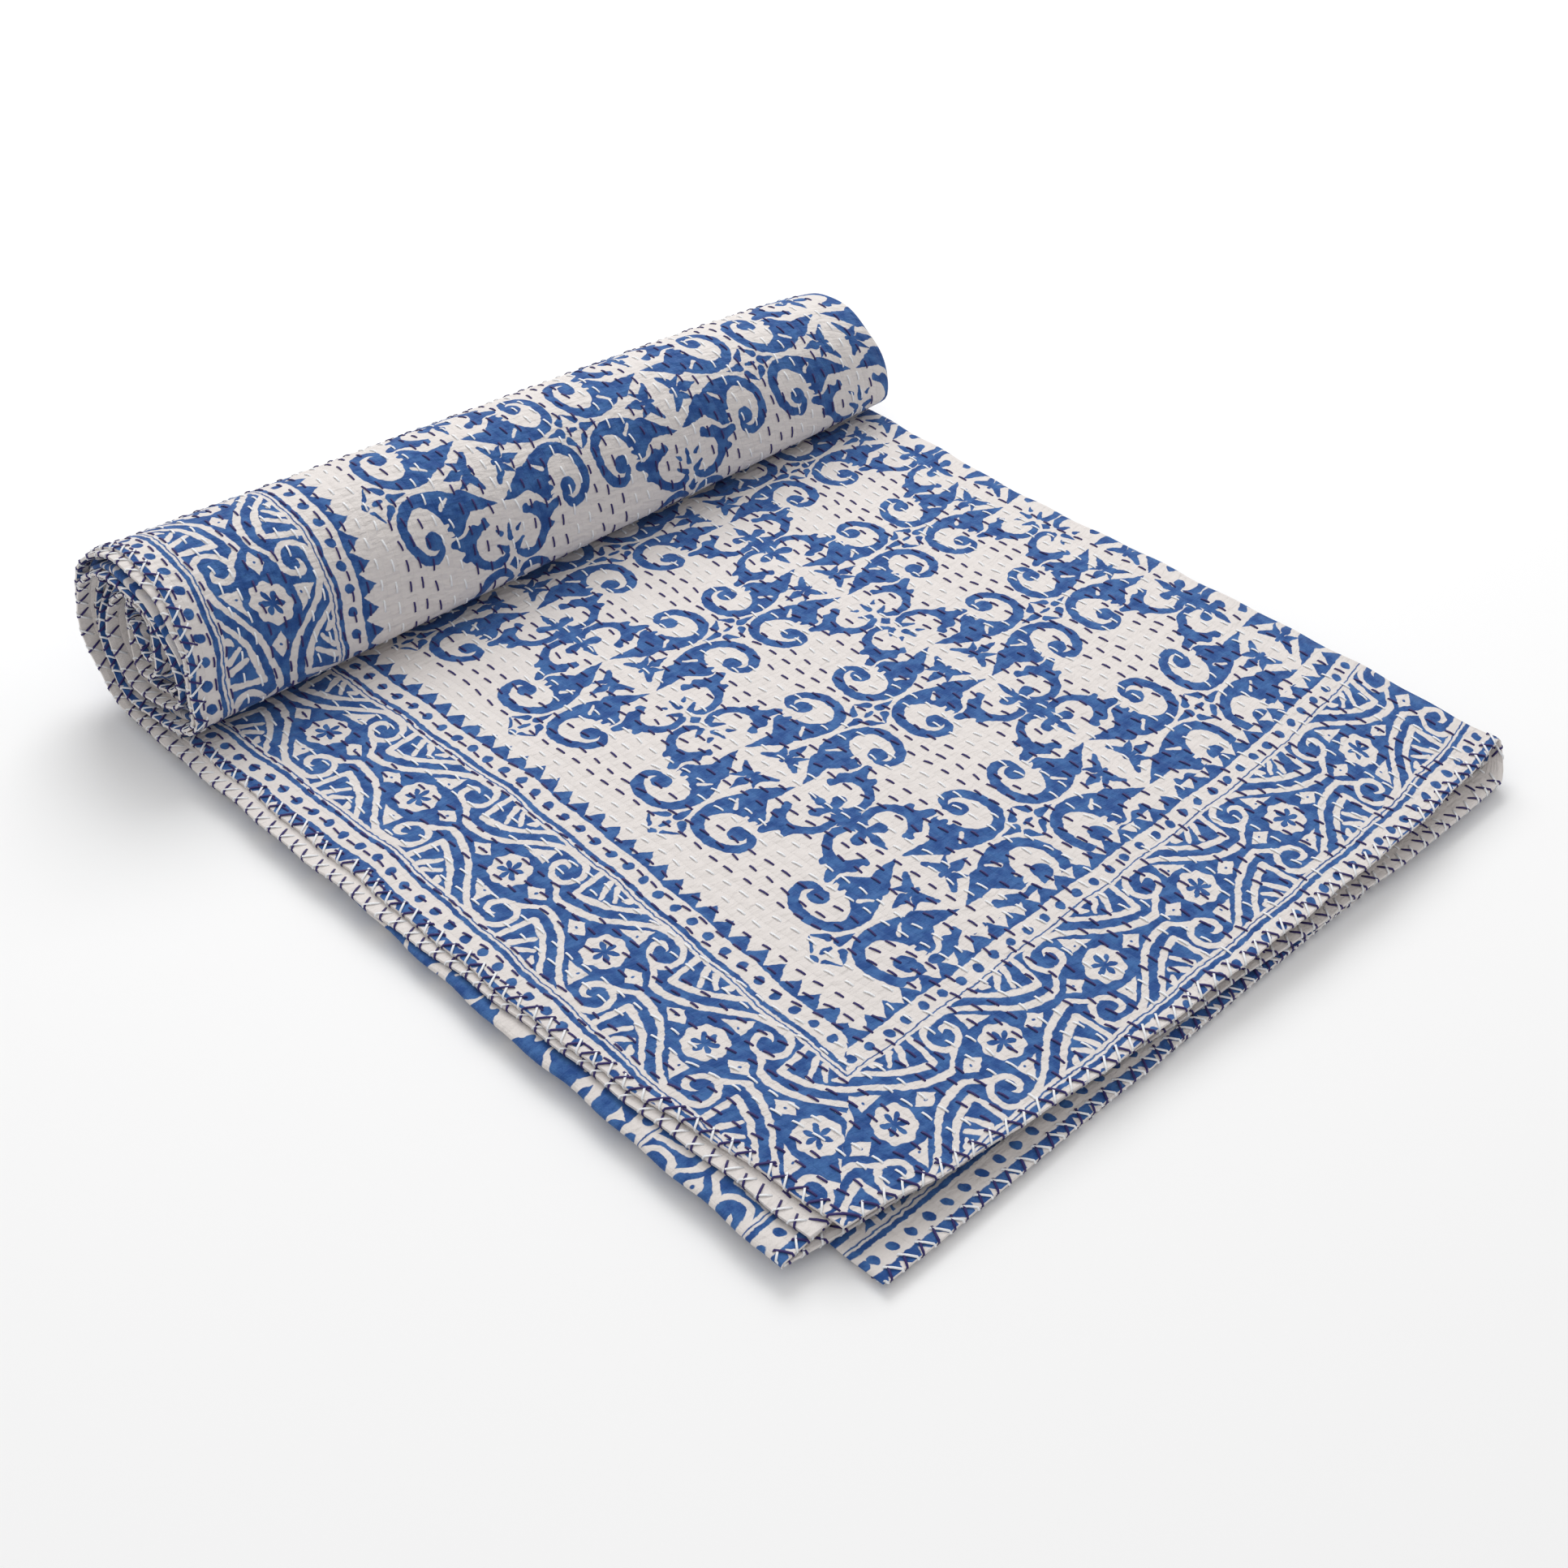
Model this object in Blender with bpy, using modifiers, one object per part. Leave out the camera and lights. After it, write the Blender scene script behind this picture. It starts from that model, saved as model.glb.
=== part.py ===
"""A kantha quilt, folded and half rolled up, as one sheet of stitched cotton.

The quilt is folded lengthwise in half and in half again, which makes a strip of four layers a quarter
of its width wide. The strip is doubled over on itself and rolled up from the doubled end towards the
front, with its two free ends left flat. So eight layers lie at the front: four of the upper run, then
four of the lower run, which lies on the floor and is the outside of the roll.

Metres, +Z up. X runs along the roll from the quilt's hems to its folds, and Y from front to back.
"""

import math
from collections import namedtuple

import bmesh
import bpy

# The cloth
CLOTH = 0.0012  # thickness of the cotton layers that are stitched together
PITCH = 0.0020  # from one layer to the next in the roll
LAYERS = 4  # layers in each run
QUARTER = 0.573  # a quarter of the quilt's width, from the hems on the left to the folds on the right

# The roll
ROLL_CENTRE = 0.588  # how far behind the front the roll rests on the floor
ROLL_RADIUS = 0.058  # from the roll's axis to the seam between the runs, where the roll begins
TURN_PITCH = 0.0170  # how much the roll's radius shrinks with each turn
TURNS = 2.75  # turns of the seam between the runs
ROLL_BULGE = 0.06  # how much wider than high the roll is, because it sags
TAPER = (0.184, 0.056)  # how much tighter the roll is at its right end: evenly, and close to the end
TELESCOPE = 0.0030  # how far the hems wander along the roll's axis
RECESS = 0.009  # how far the inner turns lie in from the outer one at the left end
TOP_SHIFT = 0.0055  # how far in the roll's left end leans at its top
END_SHIFT = 0.0165  # how far the roll's right end lies out past the flat part, most at END_HEIGHT
END_HEIGHT = 0.035
END_REACH = 0.050
SAG = 0.024  # how far the roll sags forward over the flat part, and from which height up
SAG_HEIGHT = 0.020
SAG_REACH = 0.030

# The folds: how far each one swells sideways
OUTER_FOLD = 0.0034
INNER_FOLD = 0.0018
FOLD_INSET = 0.0022  # gap between the outer fold and the inner one that it holds
PULL_LONG = 0.55  # how far back along the flat part its right edge is drawn in

# Steps of the mesh
FLAT_STEPS = (0.0, 0.08, 0.24, 0.44, 0.64, 0.84, 1.0)
TURN_STEPS = (16, 12, 8)  # steps in a whole turn, from the outer turn inwards
CORE_STEPS = 5
FOLD_STEPS = 3
FACE_ACROSS = (0.0, 0.22, 0.48, 0.76, 1.0)
BASE_ACROSS = (1.0, 0.48, 0.0)
HIDDEN_ACROSS = (0.0, 1.0)

# One row for each layer of a run, from the seam between the runs outwards. "height" is the middle of the
# layer above the floor at the front, "front" how far behind the front line its front edge lies, "edge"
# where its left edge lies at the front, a third and two thirds of the way back, and in the roll, and
# "pull" how far its right edge is drawn in at the front.
Layer = namedtuple(
    "Layer",
    "height_left height_right front_left front_middle front_right "
    "edge_front edge_third edge_rear edge_roll pull",
)
UPPER = (
    Layer(0.0100, 0.0098, -0.001, -0.023, -0.022, -0.026, -0.024, -0.018, -0.014, 0.026),
    Layer(0.0136, 0.0150, -0.003, 0.006, -0.008, -0.026, -0.024, -0.018, -0.014, 0.020),
    Layer(0.0172, 0.0205, -0.003, 0.006, -0.004, -0.010, -0.016, -0.023, -0.022, 0.014),
    Layer(0.0208, 0.0260, -0.011, -0.026, -0.007, 0.003, -0.013, -0.012, -0.011, 0.012),
)
LOWER = (
    Layer(0.0056, 0.0056, -0.041, -0.029, -0.019, 0.006, 0.000, -0.006, -0.008, 0.024),
    Layer(0.0039, 0.0039, -0.039, -0.028, -0.018, 0.006, 0.000, -0.006, -0.008, 0.024),
    Layer(0.0022, 0.0022, -0.035, -0.025, -0.016, 0.008, -0.002, -0.014, -0.016, 0.024),
    Layer(0.0006, 0.0006, -0.036, -0.026, -0.015, 0.009, 0.000, -0.011, -0.012, 0.024),
)

# A station along the strip: which run, how far back on the flat part, how far round the roll, and how far
# round the doubled end at the roll's core
Station = namedtuple("Station", "run back turn core")

# A column across the strip: the two layers that it lies between, how far from one to the other, how far
# across from left to right, and how far it swells sideways
Column = namedtuple("Column", "first second share across swell")

SEAM_HEIGHT = CLOTH / 2 + (LAYERS - 0.5) * PITCH
ROLL_HEIGHT = SEAM_HEIGHT + ROLL_RADIUS
CORE_ANGLE = TURNS * math.tau


def clip(t):
    return min(max(t, 0.0), 1.0)


def smooth(t):
    return t * t * (3 - 2 * t)


def mix(a, b, t):
    return a + (b - a) * t


def through(values, t):
    """A smooth line through evenly spaced values, for t from 0 to 1."""
    at = clip(t) * (len(values) - 1)
    i = min(int(at), len(values) - 2)
    return mix(values[i], values[i + 1], smooth(at - i))


def bow(left, middle, right, t):
    """A curve that passes through three values, for t of 0, 0.5 and 1, and turns most near its ends."""
    return mix(left, right, t) + (middle - (left + right) / 2) * (1 - abs(2 * t - 1) ** 3)


def roll_angles():
    """The angles of the steps round the roll, which get wider towards its core."""
    angles = []
    for turn, steps in enumerate(TURN_STEPS):
        angles += [math.tau * (turn + (i + 1) / steps) for i in range(steps)]
    return [angle for angle in angles if angle < CORE_ANGLE + 0.001]


def stations():
    """The stations from the upper run's front edge, through the core, to the lower run's front edge."""
    flat = [(back, 0.0) for back in FLAT_STEPS]
    rolled = [(1.0, angle) for angle in roll_angles()]
    up = [Station(UPPER, back, turn, 0.0) for back, turn in flat + rolled]
    round_end = [Station(UPPER, 1.0, CORE_ANGLE, math.pi * i / CORE_STEPS) for i in range(1, CORE_STEPS)]
    down = [Station(LOWER, back, turn, math.pi) for back, turn in reversed(flat + rolled)]
    return up + round_end + down


def columns():
    """The columns from the top layer's hem, to and fro through the layers, to the second one's hem."""
    base, middle, tucked, face = range(LAYERS)

    def layer(number, across):
        return [Column(number, number, 0.0, t, 0.0) for t in across]

    def fold(first, second, across, swell):
        turns = [math.pi * i / FOLD_STEPS for i in range(1, FOLD_STEPS)]
        return [Column(first, second, (1 - math.cos(a)) / 2, across, swell * math.sin(a)) for a in turns]

    return (
        layer(face, FACE_ACROSS)
        + fold(face, base, 1.0, OUTER_FOLD)
        + layer(base, BASE_ACROSS)
        + fold(base, middle, 0.0, -INNER_FOLD)
        + layer(middle, HIDDEN_ACROSS)
        + fold(middle, tucked, 1.0, INNER_FOLD)
        + layer(tucked, reversed(HIDDEN_ACROSS))
    )


def sideways(number, station, across):
    """X of a layer at a station."""
    row = station.run[number]
    if station.turn > 0:
        wander = TELESCOPE * math.sin(1.3 * station.turn + 1.1 * number)
        wander *= smooth(clip(station.turn / math.pi))
        begin = math.pi * (1 if station.run is UPPER else 2)
        left = row.edge_roll + wander + RECESS * smooth(clip((station.turn - begin) / math.pi))
    else:
        left = through((row.edge_front, row.edge_third, row.edge_rear, row.edge_roll), station.back)
    inside = number in (1, 2)
    right = QUARTER - (OUTER_FOLD + FOLD_INSET if inside else OUTER_FOLD)
    right -= row.pull * (1 - smooth(clip(station.back / PULL_LONG)))
    return mix(left, right, across)


def offset(number, station, across):
    """How far a layer lies from the seam between the runs, in the roll and on the flat part."""
    rolled = (number + 0.5) * PITCH
    row = station.run[number]
    height = mix(row.height_left, row.height_right, across**2)
    flat = abs(height - SEAM_HEIGHT)
    if station.run is UPPER:
        flat = height - SEAM_HEIGHT
    return mix(flat, rolled, smooth(station.back))


def front(number, station, across):
    row = station.run[number]
    return bow(row.front_left, row.front_middle, row.front_right, across)


def place(column, station):
    """The middle of the cloth, where a column meets a station."""
    ends = (column.first, column.second)
    x = mix(*(sideways(n, station, column.across) for n in ends), column.share) + column.swell
    away = mix(*(offset(n, station, column.across) for n in ends), column.share)
    start = mix(*(front(n, station, column.across) for n in ends), column.share)

    if station.turn == 0 and station.core in (0.0, math.pi):
        side = 1 if station.run is UPPER else -1
        y = mix(start, ROLL_CENTRE, station.back)
        z = SEAM_HEIGHT + side * away
    else:
        sine, cosine = math.sin(station.turn), math.cos(station.turn)
        radius = ROLL_RADIUS - TURN_PITCH * station.turn / math.tau - away * math.cos(station.core)
        past = away * math.sin(station.core)
        bulge = 1 + ROLL_BULGE * sine**2
        y = ROLL_CENTRE + (radius * sine + past * cosine) * bulge
        z = ROLL_HEIGHT + (past * sine - radius * cosine) * bulge
        ahead = smooth(clip(1.3 * (ROLL_CENTRE - y) / ROLL_RADIUS))
        y -= SAG * ahead * math.exp(-(((z - SAG_HEIGHT) / SAG_REACH) ** 2))

    tight = 1 - TAPER[0] * x / QUARTER - TAPER[1] * clip(x / QUARTER) ** 8
    if station.turn == 0 and station.core in (0.0, math.pi):
        tight = mix(1.0, tight, smooth(station.back))
    else:
        y = ROLL_CENTRE + (y - ROLL_CENTRE) * tight
    z = CLOTH / 2 + (z - CLOTH / 2) * tight
    left_shift = TOP_SHIFT * (z / (2 * ROLL_RADIUS)) - TOP_SHIFT / 5
    right_shift = END_SHIFT * math.exp(-(((z - END_HEIGHT) / END_REACH) ** 2))
    x += mix(left_shift, right_shift, column.across) * smooth(clip(2.5 * station.back - 1.5))
    return (x, y, z)


def cloth_material():
    material = bpy.data.materials.new("printed cotton")
    material.use_nodes = True
    shader = material.node_tree.nodes["Principled BSDF"]
    shader.inputs["Base Color"].default_value = (0.46, 0.50, 0.62, 1)
    shader.inputs["Roughness"].default_value = 0.9
    shader.inputs["Metallic"].default_value = 0.0
    return material


def quilt():
    """The folded sheet, a surface with a cotton's thickness, centred on its own footprint."""
    mesh = bpy.data.meshes.new("quilt")
    sheet = bmesh.new()
    rows = [[sheet.verts.new(place(column, station)) for column in columns()] for station in stations()]
    for row, after in zip(rows, rows[1:]):
        for i in range(len(row) - 1):
            sheet.faces.new((row[i], row[i + 1], after[i + 1], after[i]))
    sheet.to_mesh(mesh)
    sheet.free()
    mesh.materials.append(cloth_material())

    obj = bpy.data.objects.new("quilt", mesh)
    thickness = obj.modifiers.new("thickness", "SOLIDIFY")
    thickness.thickness = CLOTH
    thickness.offset = 0.0
    thickness.use_even_offset = True
    return obj


def centre(obj):
    """Moves an object so that the middle of its footprint is at the origin."""
    bpy.context.view_layer.update()
    seen = obj.evaluated_get(bpy.context.evaluated_depsgraph_get())
    for axis in (0, 1):
        reach = [corner[axis] for corner in seen.bound_box]
        obj.location[axis] = -(min(reach) + max(reach)) / 2


def main():
    for obj in list(bpy.data.objects):
        bpy.data.objects.remove(obj, do_unlink=True)
    collection = bpy.data.collections.new("kantha quilt")
    bpy.context.scene.collection.children.link(collection)
    folded = quilt()
    collection.objects.link(folded)
    centre(folded)


main()
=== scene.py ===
"""A kantha quilt, folded and half rolled up: its printed cloth, its stitches and the stage it lies on.

The cloth is one sheet. Its columns run across the strip, to and fro through the four folded layers, and
its rows run along the strip, from the upper run's front edge through the roll's core to the lower run's.
Metres, +Z up. Sizes of the print are in millimetres.
"""

import math
import random
from collections import namedtuple

import bpy
import numpy as np
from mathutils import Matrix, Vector


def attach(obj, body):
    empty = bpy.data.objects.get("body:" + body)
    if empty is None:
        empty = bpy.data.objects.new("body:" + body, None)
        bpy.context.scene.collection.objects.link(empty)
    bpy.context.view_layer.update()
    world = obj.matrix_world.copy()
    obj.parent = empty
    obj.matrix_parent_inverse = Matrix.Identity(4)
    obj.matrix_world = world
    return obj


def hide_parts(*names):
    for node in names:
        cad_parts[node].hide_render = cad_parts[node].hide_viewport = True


bl_info = {
    "name": "Kantha quilt",
    "version": (1, 0, 0),
    "blender": (4, 5, 0),
    "location": "3D View > Sidebar > Quilt",
    "description": "Makes a folded and half rolled kantha quilt with its block print and its stitches",
    "category": "Add Mesh",
}

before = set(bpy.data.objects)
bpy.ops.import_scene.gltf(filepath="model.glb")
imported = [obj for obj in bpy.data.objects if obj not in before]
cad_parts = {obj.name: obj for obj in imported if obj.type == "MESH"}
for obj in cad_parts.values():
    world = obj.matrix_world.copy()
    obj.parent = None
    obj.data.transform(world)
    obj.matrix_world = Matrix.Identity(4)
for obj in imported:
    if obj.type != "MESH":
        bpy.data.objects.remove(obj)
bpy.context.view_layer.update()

# ---- Sizes of the folded and rolled sheet

CLOTH = 0.0012  # thickness of the cotton layers that are stitched together
HEM = 0.0017  # thickness at the turned hem
HEM_WIDTH = 0.007
HEM_END = 1.6  # where it has thinned down to the cloth's thickness, in widths from the edge
PITCH = 0.0020  # from one layer to the next in the roll
LAYERS = 4  # layers in each run
QUARTER = 0.573  # a quarter of the quilt's width, from the hems on the left to the folds on the right

ROLL_CENTRE = 0.588  # how far behind the front the roll rests on the floor
ROLL_RADIUS = 0.058  # from the roll's axis to the seam between the runs, where the roll begins
TURN_PITCH = 0.0170  # how much the roll's radius shrinks with each turn
TURNS = 2.75  # turns of the seam between the runs
ROLL_BULGE = 0.06  # how much wider than high the roll is, because it sags
TAPER = (0.184, 0.056)  # how much tighter the roll is at its right end: evenly, and close to the end
TAPER_CLOSE = 8  # how sudden the second one is
TELESCOPE = 0.0030  # how far the hems wander along the roll's axis
WANDER_TURN = 1.3  # how fast they wander round the roll, and from one layer to the next
WANDER_LAYER = 1.1
RECESS = 0.009  # how far the inner turns lie in from the outer one at the left end
TOP_SHIFT = 0.0055  # how far in the roll's left end leans at its top
UPRIGHT = 0.2  # the share of its height at which it doesn't lean
SHIFT_START = 0.6  # how far back along the flat part the roll's ends begin to shift
END_SHIFT = 0.0165  # how far the roll's right end lies out past the flat part, most at END_HEIGHT
END_HEIGHT = 0.035
END_REACH = 0.050
SAG = 0.024  # how far the roll sags forward over the flat part, and from which height up
SAG_HEIGHT = 0.020
SAG_REACH = 0.030
SAG_FULL = ROLL_RADIUS / 1.3  # how far ahead of the roll's middle it sags in full

OUTER_FOLD = 0.0034
INNER_FOLD = 0.0018
FOLD_INSET = 0.0022  # gap between the outer fold and the inner one that it holds
PULL_LONG = 0.55  # how far back along the flat part its right edge is drawn in

# One row for each layer of a run, from the seam between the runs outwards. "height" is the middle of the
# layer above the floor at the front, "front" how far behind the front line its front edge lies, "edge"
# where its left edge lies at the front, a third and two thirds of the way back, and in the roll, and
# "pull" how far its right edge is drawn in at the front.
Layer = namedtuple(
    "Layer",
    "height_left height_right front_left front_middle front_right "
    "edge_front edge_third edge_rear edge_roll pull",
)
UPPER = (
    Layer(0.0100, 0.0098, -0.001, -0.023, -0.022, -0.026, -0.024, -0.018, -0.014, 0.026),
    Layer(0.0136, 0.0150, -0.003, 0.006, -0.008, -0.026, -0.024, -0.018, -0.014, 0.020),
    Layer(0.0172, 0.0205, -0.003, 0.006, -0.004, -0.010, -0.016, -0.023, -0.022, 0.014),
    Layer(0.0208, 0.0260, -0.011, -0.026, -0.007, 0.003, -0.013, -0.012, -0.011, 0.012),
)
LOWER = (
    Layer(0.0056, 0.0056, -0.041, -0.029, -0.019, 0.006, 0.000, -0.006, -0.008, 0.024),
    Layer(0.0039, 0.0039, -0.039, -0.028, -0.018, 0.006, 0.000, -0.006, -0.008, 0.024),
    Layer(0.0022, 0.0022, -0.035, -0.025, -0.016, 0.008, -0.002, -0.014, -0.016, 0.024),
    Layer(0.0006, 0.0006, -0.036, -0.026, -0.015, 0.009, 0.000, -0.011, -0.012, 0.024),
)
BASE, MIDDLE, TUCKED, FACE = range(LAYERS)

# Waves of the flat cloth, up and down, and of the hems along X and Y, each as (share, how fast it goes
# along X, Y and Z, where it starts)
SWELL = ((1.0, (21, 13, 0), 0.4), (0.7, (-17, 29, 0), 1.7), (0.5, (47, -8, 0), 0.0))
SWELL_HEIGHT = 0.02  # the height above the floor at which the cloth swells in full
STRAY_X = ((1.0, (0, 118, 96), 0.5), (0.6, (0, 61, -150), 0.0))
STRAY_Y = ((1.0, (107, 0, 210), 0.0), (0.6, (53, 0, -330), 2.0))

SEAM_HEIGHT = CLOTH / 2 + (LAYERS - 0.5) * PITCH
ROLL_HEIGHT = SEAM_HEIGHT + ROLL_RADIUS
CORE_ANGLE = TURNS * math.tau

# Steps of the mesh
FLAT_ROWS = 60
INNER_TURN_ROWS = 24
OUTER_TURN_ROWS = 56
CORE_ROWS = 6
LOWER_FLAT_ROWS = 24
FOLD_COLUMNS = 6
FACE_COLUMNS = 64
BASE_COLUMNS = 16
MIDDLE_COLUMNS = 8
TUCKED_COLUMNS = 16

# ---- Settings that a user would change


class QuiltCloth(bpy.types.PropertyGroup):
    waves: bpy.props.FloatProperty(
        name="Waves", default=0.0009, unit="LENGTH",
        description="How high the top of the quilt lies in soft waves",
    )
    hem_waves: bpy.props.FloatProperty(
        name="Hem waves", default=0.0007, unit="LENGTH",
        description="How far the hems wander to and fro",
    )
    cotton: bpy.props.FloatVectorProperty(
        name="Cotton", default=(0.775, 0.727, 0.70), size=3, subtype="COLOR",
        description="Colour of the plain cotton",
    )
    ink: bpy.props.FloatVectorProperty(
        name="Ink", default=(0.0185, 0.0735, 0.262), size=3, subtype="COLOR",
        description="Colour of the block print",
    )
    ink_thin: bpy.props.FloatVectorProperty(
        name="Thin ink", default=(0.050, 0.145, 0.375), size=3, subtype="COLOR",
        description="Colour where the block left little ink",
    )
    pucker: bpy.props.FloatProperty(
        name="Pucker", default=0.0012, unit="LENGTH",
        description="How high the cotton puffs between stitches",
    )


class QuiltStitches(bpy.types.PropertyGroup):
    row_pitch: bpy.props.FloatProperty(
        name="Row pitch", default=0.0102, unit="LENGTH",
        description="From one row of running stitch to the next",
    )
    stitch: bpy.props.FloatProperty(
        name="Stitch", default=0.0078, unit="LENGTH",
        description="Length of a running stitch",
    )
    gap: bpy.props.FloatProperty(
        name="Gap", default=0.0062, unit="LENGTH",
        description="Gap between two running stitches",
    )
    thread: bpy.props.FloatProperty(
        name="Thread", default=0.00078, unit="LENGTH",
        description="Half the width of the thread",
    )
    whip_pitch: bpy.props.FloatProperty(
        name="Whip pitch", default=0.012, unit="LENGTH",
        description="From one whip stitch along a hem to the next",
    )
    whip_depth: bpy.props.FloatProperty(
        name="Whip depth", default=0.0082, unit="LENGTH",
        description="How far in from the hem a whip stitch starts",
    )
    navy: bpy.props.FloatVectorProperty(
        name="Navy", default=(0.020, 0.010, 0.125), size=3, subtype="COLOR",
        description="Colour of the dark thread",
    )
    white: bpy.props.FloatVectorProperty(
        name="White", default=(0.93, 0.94, 0.96), size=3, subtype="COLOR",
        description="Colour of the pale thread",
    )


class QuiltStage(bpy.types.PropertyGroup):
    floor: bpy.props.FloatVectorProperty(
        name="Floor", default=(0.95, 0.95, 0.95), size=3, subtype="COLOR",
        description="Colour of the floor",
    )
    sky: bpy.props.FloatProperty(
        name="Sky", default=0.87,
        description="Strength of the light from all round",
    )
    key: bpy.props.FloatProperty(
        name="Key light", default=33.5, unit="POWER",
        description="Power of the main light",
    )
    fill: bpy.props.FloatProperty(
        name="Fill light", default=2.6, unit="POWER",
        description="Power of the front light",
    )
    lens: bpy.props.FloatProperty(name="Lens", description="Focal length", default=55.1, unit="CAMERA")


# ---- The folded and rolled sheet, worked out for all rows and columns at once

Rows = namedtuple("Rows", "run back turn core")
Columns = namedtuple("Columns", "first second share across swell")

# The sheet's points and normals by row and column, how far each column lies from the first hem across the
# cloth, and how far each point lies from the first end along the cloth
Sheet = namedtuple("Sheet", "point normal across along")


def smooth(t):
    return t * t * (3 - 2 * t)


def mix(a, b, t):
    return a + (b - a) * t


def through(values, t):
    """A smooth line through evenly spaced values, for t from 0 to 1."""
    at = t * (len(values) - 1)
    steps = [(b - a) * smooth(np.clip(at - i, 0, 1)) for i, (a, b) in enumerate(zip(values, values[1:]))]
    return values[0] + sum(steps)


def bow(left, middle, right, t):
    """A curve that passes through three values, for t of 0, 0.5 and 1, and turns most near its ends."""
    return mix(left, right, t) + (middle - (left + right) / 2) * (1 - abs(2 * t - 1) ** 3)


def sheet_rows():
    """The rows, from the upper run's front edge, through the core, to the lower run's front edge."""
    inner = round((TURNS - 1) * INNER_TURN_ROWS)
    flat = [(0, back, 0.0, 0.0) for back in np.linspace(0, 1, FLAT_ROWS + 1)]
    up_steps = round(TURNS * INNER_TURN_ROWS)
    up = [(0, 1.0, CORE_ANGLE * i / up_steps, 0.0) for i in range(1, up_steps + 1)]
    round_end = [(0, 1.0, CORE_ANGLE, math.pi * i / CORE_ROWS) for i in range(1, CORE_ROWS)]
    down = [(1, 1.0, mix(CORE_ANGLE, math.tau, i / inner), math.pi) for i in range(inner + 1)]
    last = [(1, 1.0, math.tau * (1 - i / OUTER_TURN_ROWS), math.pi) for i in range(1, OUTER_TURN_ROWS + 1)]
    lower = [(1, 1 - i / LOWER_FLAT_ROWS, 0.0, math.pi) for i in range(1, LOWER_FLAT_ROWS + 1)]
    return Rows(*np.array(flat + up + round_end + down + last + lower).T)


def sheet_columns():
    """The columns, from the top layer's hem, to and fro through the layers, to the second one's hem."""
    hem = HEM_WIDTH / QUARTER

    def layer(number, steps, hem_first=False):
        across = np.linspace(0, 1, steps + 1)
        if hem_first:
            across = np.insert(across, 1, hem)
            across[2] = (across[1] + across[3]) / 2
        return [(number, number, 0.0, t, 0.0) for t in across]

    def fold(first, second, across, swell):
        turns = [math.pi * i / FOLD_COLUMNS for i in range(1, FOLD_COLUMNS)]
        return [(first, second, (1 - math.cos(a)) / 2, across, swell * math.sin(a)) for a in turns]

    columns = (
        layer(FACE, FACE_COLUMNS, True)
        + fold(FACE, BASE, 1.0, OUTER_FOLD)
        + layer(BASE, BASE_COLUMNS)[::-1]
        + fold(BASE, MIDDLE, 0.0, -INNER_FOLD)
        + layer(MIDDLE, MIDDLE_COLUMNS)
        + fold(MIDDLE, TUCKED, 1.0, INNER_FOLD)
        + layer(TUCKED, TUCKED_COLUMNS, True)[::-1]
    )
    first, second, share, across, swell = np.array(columns).T
    return Columns(first.astype(int), second.astype(int), share, across, swell)


def layer_size(name, number, rows):
    """A size of each column's layer, at each row."""
    table = np.array([[getattr(layer, name) for layer in run] for run in (UPPER, LOWER)])
    return table[rows.run.astype(int)[:, None], number[None, :]]


def sideways(number, rows, across):
    """X of each column's layer at each row."""
    in_roll = (rows.turn > 0)[:, None]
    turn, back = rows.turn[:, None], rows.back[:, None]
    names = ("edge_front", "edge_third", "edge_rear", "edge_roll")
    edges = [layer_size(name, number, rows) for name in names]
    wander = TELESCOPE * np.sin(WANDER_TURN * turn + WANDER_LAYER * number)
    wander = wander * smooth(np.clip(turn / math.pi, 0, 1))
    recess = RECESS * smooth(np.clip(turn / math.pi - 1 - rows.run[:, None], 0, 1))
    left = np.where(in_roll, edges[-1] + wander + recess, through(edges, back))
    inside = (number == MIDDLE) | (number == TUCKED)
    right = QUARTER - np.where(inside, OUTER_FOLD + FOLD_INSET, OUTER_FOLD)
    right = right - layer_size("pull", number, rows) * (1 - smooth(np.clip(back / PULL_LONG, 0, 1)))
    return mix(left, right, across)


def offset(number, rows, across):
    """How far each layer lies from the seam between the runs, in the roll and on the flat part."""
    left, right = (layer_size(name, number, rows) for name in ("height_left", "height_right"))
    height = mix(left, right, across**2)
    flat = np.where(rows.run[:, None] > 0, SEAM_HEIGHT - height, height - SEAM_HEIGHT)
    return mix(flat, (number + 0.5) * PITCH, smooth(rows.back[:, None]))


def front(number, rows, across):
    names = ("front_left", "front_middle", "front_right")
    return bow(*(layer_size(name, number, rows) for name in names), across)


def between(size, rows, columns):
    """A size between the two layers of each column, at each row."""
    first = size(columns.first, rows, columns.across)
    return mix(first, size(columns.second, rows, columns.across), columns.share)


def wave_sum(x, y, z, waves):
    """The sum of some sine waves that run through space."""
    return sum(share * np.sin(way[0] * x + way[1] * y + way[2] * z + start) for share, way, start in waves)


def flat_place(x, away, rows, columns):
    """Y and Z in the flat part, whose upper layers lie in soft waves."""
    back, upper = rows.back[:, None], rows.run[:, None] == 0
    y = mix(between(front, rows, columns), ROLL_CENTRE, back)
    z = SEAM_HEIGHT + np.where(upper, away, -away)
    swell = bpy.context.scene.quilt_cloth.waves * wave_sum(x, y, z, SWELL)
    return y, z + swell * np.clip(z / SWELL_HEIGHT, 0, 1) ** 2 * (1 - smooth(back)) * upper


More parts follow.
